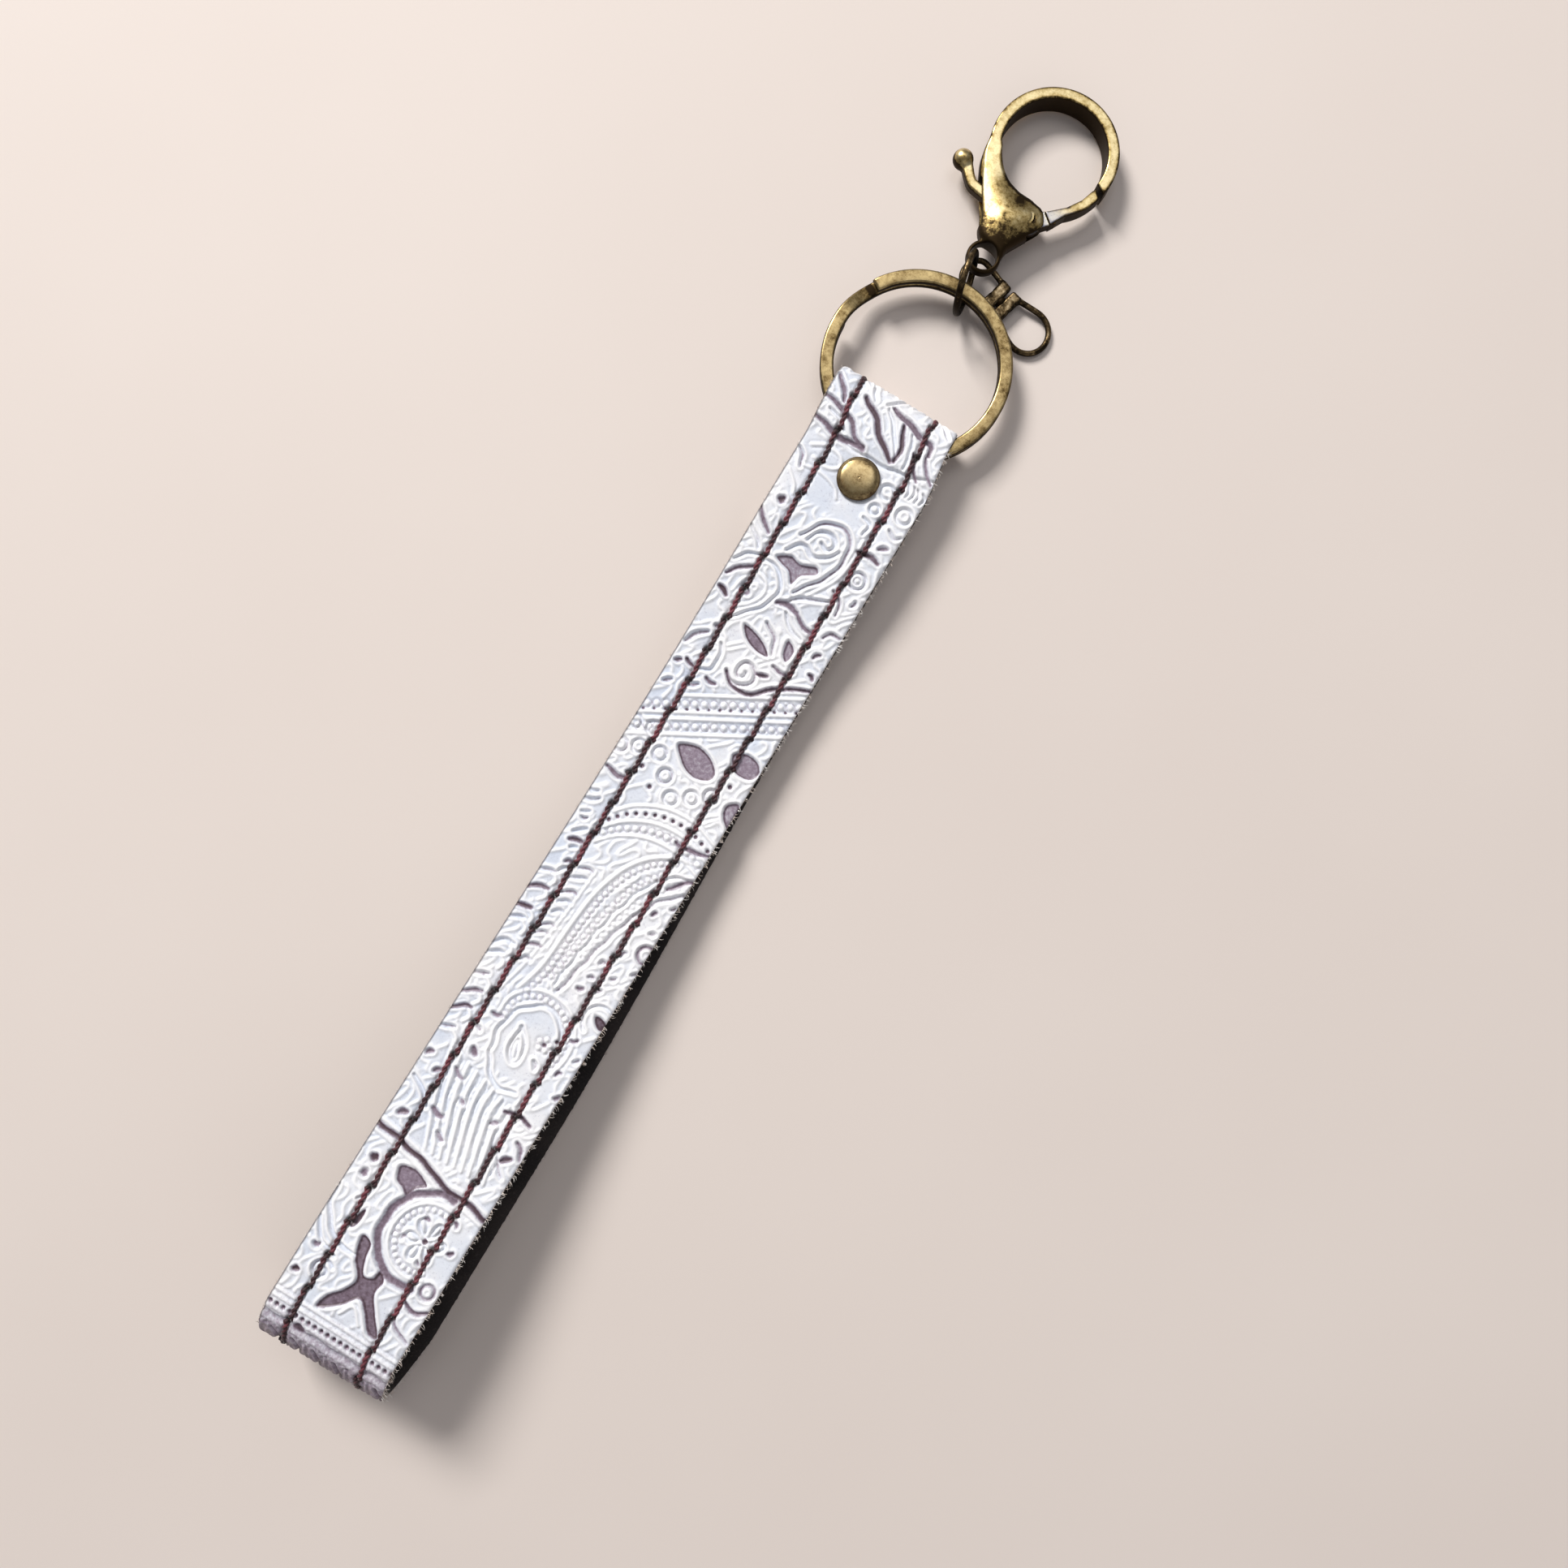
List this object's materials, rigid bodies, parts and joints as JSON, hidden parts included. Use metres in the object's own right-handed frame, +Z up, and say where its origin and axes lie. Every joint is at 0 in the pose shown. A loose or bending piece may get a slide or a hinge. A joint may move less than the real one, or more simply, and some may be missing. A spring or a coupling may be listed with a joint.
{
  "type": "wristlet keychain",
  "caption": "Folded leather wrist strap riveted round a split key ring that carries a jump ring, a lobster claw clasp and a small two-loop swivel, for holding keys on the wrist.",
  "frame": {"origin": "middle of the footprint, on the surface the keychain lies on", "axes": "+Y along the strap towards the clasp, +X to the right of it, +Z up"},
  "size_m": [0.0364, 0.269, 0.018],
  "materials": {
    "leather": "embossed white leather with a scroll pattern and mauve-brown antiquing in the recesses",
    "lining": "dark brown-black suede, matte",
    "thread": "twisted waxed thread, burgundy",
    "rivet_brass": "antique brass, satin",
    "antique_brass": "antique brass with dark patina and rubbed edges",
    "dark_brass": "dark antique brass with bright rubbed edges",
    "spring_steel": "plain spring wire"
  },
  "bodies": {
    "strap": {"strap_outer": "leather", "strap_lining": "lining", "stitch_thread_left": "thread", "stitch_thread_right": "thread", "bobbin_thread_left": "thread", "bobbin_thread_right": "thread", "rivet_cap_shell": "rivet_brass", "rivet_cap_socket": "rivet_brass", "rivet_post": "rivet_brass", "rivet_base_shell": "rivet_brass"},
    "key_ring": {"split_ring": "antique_brass"},
    "jump_ring": {"jump_ring": "dark_brass"},
    "clasp": {"clasp_body": "antique_brass", "trigger_pin": "antique_brass", "trigger_spring": "spring_steel"},
    "trigger": {"trigger_lever": "antique_brass"},
    "swivel_upper": {"swivel_upper_stirrup": "dark_brass", "swivel_rivet": "dark_brass", "swivel_washer": "dark_brass"},
    "swivel_lower": {"swivel_lower_stirrup": "dark_brass"}
  },
  "joints": [
    {"name": "ring_turn", "type": "hinge", "parent": "strap", "child": "key_ring", "pos_m": [-0.00046, 0.07559, 0.0043], "axis": [0, 0.0105, 0.9999], "range_deg": [-75, 75]},
    {"name": "jump_ring_swing", "type": "hinge", "parent": "key_ring", "child": "jump_ring", "pos_m": [-0.00046, 0.09209, 0.00413], "axis": [1, 0, 0], "range_deg": [-10, 90]},
    {"name": "clasp_swing", "type": "hinge", "parent": "jump_ring", "child": "clasp", "pos_m": [-0.00151, 0.09804, 0.0044], "axis": [0, 0, 1], "range_deg": [-12, 50]},
    {"name": "trigger", "type": "hinge", "parent": "clasp", "child": "trigger", "pos_m": [0.00332, 0.10922, 0.00394], "axis": [0.0025, 0.054, 0.9985], "range_deg": [0, 25], "stiffness_Nm_per_rad": 0.01, "springref_deg": -22.92},
    {"name": "swivel_swing", "type": "hinge", "parent": "jump_ring", "child": "swivel_upper", "pos_m": [-0.00078, 0.09674, 0.0022], "axis": [0, 0, 1], "range_deg": [-5, 20]},
    {"name": "swivel_spin", "type": "hinge", "parent": "swivel_upper", "child": "swivel_lower", "pos_m": [0.00648, 0.09509, 0.00152], "axis": [0.9632, -0.2581, -0.075], "continuous": true}
  ]
}
